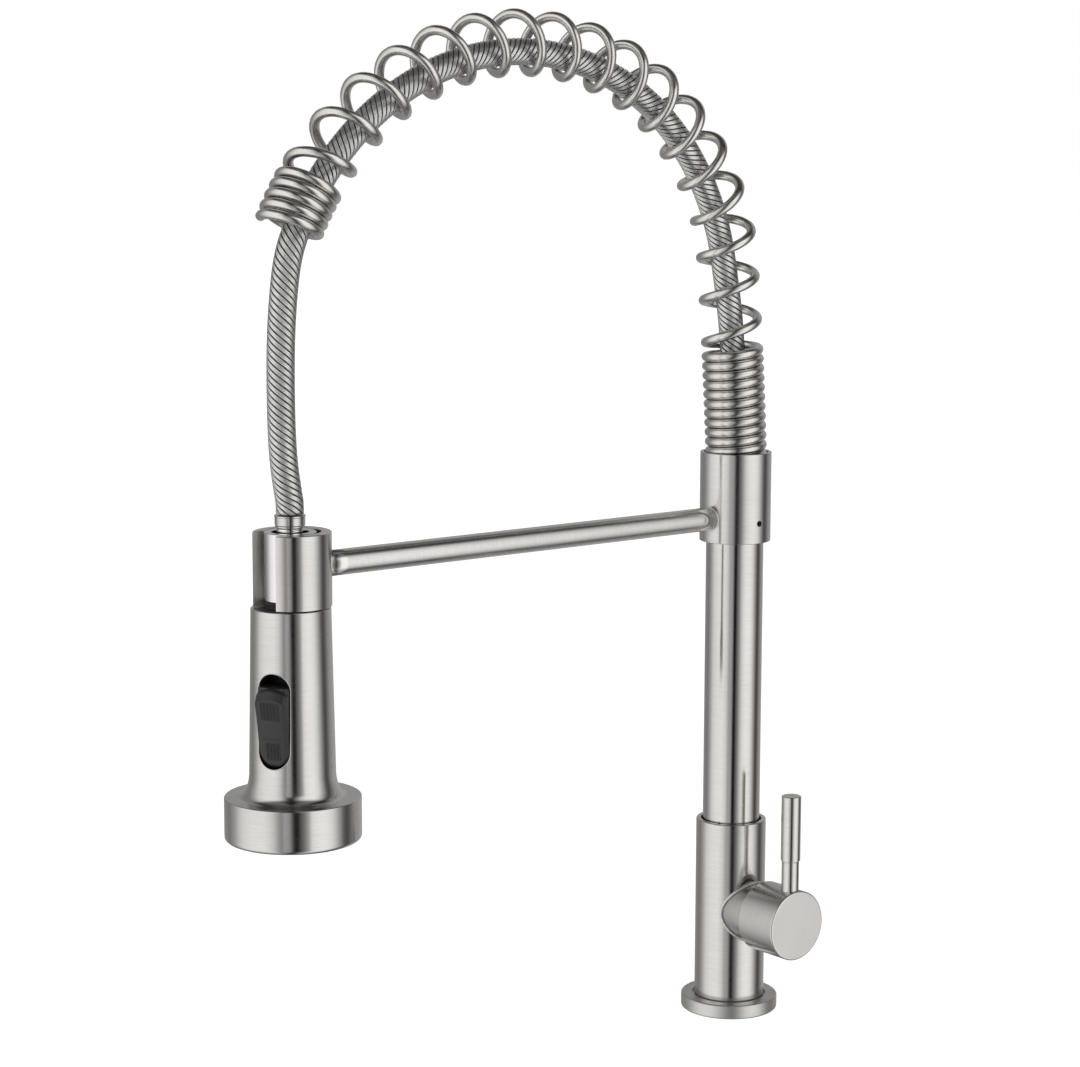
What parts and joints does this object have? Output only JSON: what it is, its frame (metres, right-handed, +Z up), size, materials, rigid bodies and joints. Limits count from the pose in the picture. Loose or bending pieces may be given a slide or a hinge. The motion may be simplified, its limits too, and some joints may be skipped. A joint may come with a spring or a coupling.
{
  "type": "pull-down kitchen faucet",
  "caption": "Single-lever kitchen faucet with a spring arch, docking arm and pull-down spray head on a braided hose.",
  "frame": {"origin": "centre of the deck flange's underside, at the mouth of the stud hole", "axes": "+Z up along the post; -Y along the docking arm towards the spray head; +X towards the handle"},
  "size_m": [0.0779, 0.3116, 0.4857],
  "materials": {
    "brushed_nickel": "satin brushed nickel",
    "spring_wire": "satin wire",
    "polished_steel": "polished",
    "hose_braid": "braided stainless wire",
    "plain_steel": "plain machined",
    "black_steel": "black oxide",
    "brass": "machined",
    "black_rubber": "matte",
    "black_plastic": "matte moulded",
    "face_plastic": "matte moulded",
    "nozzle_rubber": "soft silicone",
    "white_plastic": "moulded",
    "ceramic": "ground ceramic"
  },
  "bodies": {
    "base": {"deck_flange": "brushed_nickel", "base_gasket": "black_rubber", "valve_body": "brushed_nickel", "valve_core": "brass", "cartridge_sleeve": "brushed_nickel", "port_seals": "black_rubber", "cartridge_housing": "white_plastic", "fixed_disc": "ceramic", "cartridge_nut": "brass", "thrust_washer": "white_plastic", "guide_bush": "white_plastic", "swivel_screw": "plain_steel"},
    "rotor": {"cartridge_rotor": "white_plastic", "spindle_pin": "plain_steel"},
    "disc_slider": {"moving_disc": "ceramic"},
    "handle": {"spindle": "brass", "handle_cap": "brushed_nickel", "lever_rod": "brushed_nickel", "handle_set_screw": "plain_steel"},
    "spout": {"swivel_spigot": "brass", "swivel_o_rings": "black_rubber", "riser_tube": "brushed_nickel", "spout_plug": "brass", "collar": "brushed_nickel", "collar_set_screw": "black_steel", "docking_arm": "brushed_nickel", "docking_ring": "brushed_nickel", "arch_spring": "spring_wire", "hose_lower_ferrule": "polished_steel", "hose_arch": "hose_braid", "hose_drop": "hose_braid"},
    "hose_end": {"hose_ferrule": "polished_steel", "hose_stem": "brass", "stem_o_ring": "black_rubber"},
    "head": {"hose_nut": "polished_steel", "spray_neck": "polished_steel", "neck_seal": "black_rubber", "head_shell": "brushed_nickel", "spray_core": "black_plastic", "check_valve": "white_plastic", "rocker_pin": "plain_steel", "nozzle_plate": "face_plastic", "nozzles": "nozzle_rubber", "aerator": "white_plastic", "face_seal": "black_rubber"},
    "spool": {"diverter_spool": "white_plastic"},
    "rocker": {"rocker_button": "black_plastic"}
  },
  "joints": [
    {"name": "spout_swivel", "type": "hinge", "parent": "base", "child": "spout", "pos_m": [0, 0, 0.084], "axis": [0, 0, 1], "continuous": true},
    {"name": "handle_temperature", "type": "hinge", "parent": "base", "child": "rotor", "pos_m": [0.022, 0, 0.052], "axis": [1, 0, 0], "range_deg": [-45, 45]},
    {"name": "handle_flow", "type": "hinge", "parent": "rotor", "child": "handle", "pos_m": [0.022, 0, 0.052], "axis": [0, 1, 0], "range_deg": [0, 22]},
    {"name": "disc_slide", "type": "slide", "parent": "rotor", "child": "disc_slider", "axis": [0, 0, 1], "range_m": [0, 0.0031]},
    {"name": "head_pull", "type": "slide", "parent": "spout", "child": "hose_end", "axis": [0, 0, -1], "range_m": [0, 0.08], "deforming": ["hose_drop"]},
    {"name": "head_spin", "type": "hinge", "parent": "hose_end", "child": "head", "pos_m": [0, -0.258, 0.25], "axis": [0, 0, 1], "continuous": true},
    {"name": "rocker_toggle", "type": "hinge", "parent": "head", "child": "rocker", "pos_m": [0.00625, -0.26882, 0.18], "axis": [-0.866, -0.5, 0], "range_deg": [0, 12.5]},
    {"name": "spool_slide", "type": "slide", "parent": "head", "child": "spool", "axis": [0, 0, -1], "range_m": [0, 0.0021]}
  ],
  "couplings": [
    {"joint": "disc_slide", "follows": "handle_flow", "m_per_rad": 0.008},
    {"joint": "spool_slide", "follows": "rocker_toggle", "m_per_rad": 0.0093}
  ]
}
